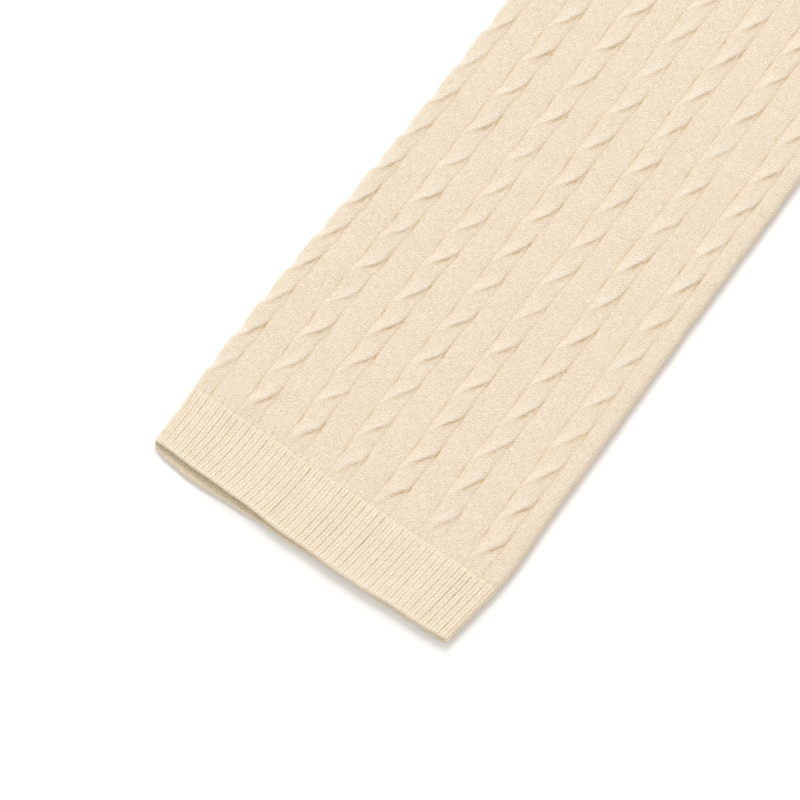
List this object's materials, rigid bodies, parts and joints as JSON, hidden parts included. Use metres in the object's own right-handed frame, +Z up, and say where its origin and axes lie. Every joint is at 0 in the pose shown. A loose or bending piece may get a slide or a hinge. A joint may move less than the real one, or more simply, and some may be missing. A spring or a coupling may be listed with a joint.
{
  "type": "pair of leg warmers",
  "caption": "Cream cable-knit leg warmers with ribbed cuffs, laid flat side by side on a surface.",
  "frame": {"origin": "centre of the pair on the surface it lies on", "axes": "+Z up from the surface; +Y along the legs, from the pictured lower cuffs to the upper cuffs; +X from the left leg warmer to the right one"},
  "size_m": [0.4111, 0.4228, 0.0054],
  "materials": {
    "cable_knit": "matt, slightly brushed wool-blend stockinette with cables",
    "rib_knit": "matt wool-blend 1x1 rib"
  },
  "bodies": {
    "root": {"left_body_front": "cable_knit", "left_body_back": "cable_knit", "left_lower_cuff_front": "rib_knit", "left_lower_cuff_back": "rib_knit", "left_upper_cuff_front": "rib_knit", "left_upper_cuff_back": "rib_knit", "right_body_front": "cable_knit", "right_body_back": "cable_knit", "right_lower_cuff_front": "rib_knit", "right_lower_cuff_back": "rib_knit", "right_upper_cuff_front": "rib_knit", "right_upper_cuff_back": "rib_knit"}
  },
  "joints": []
}
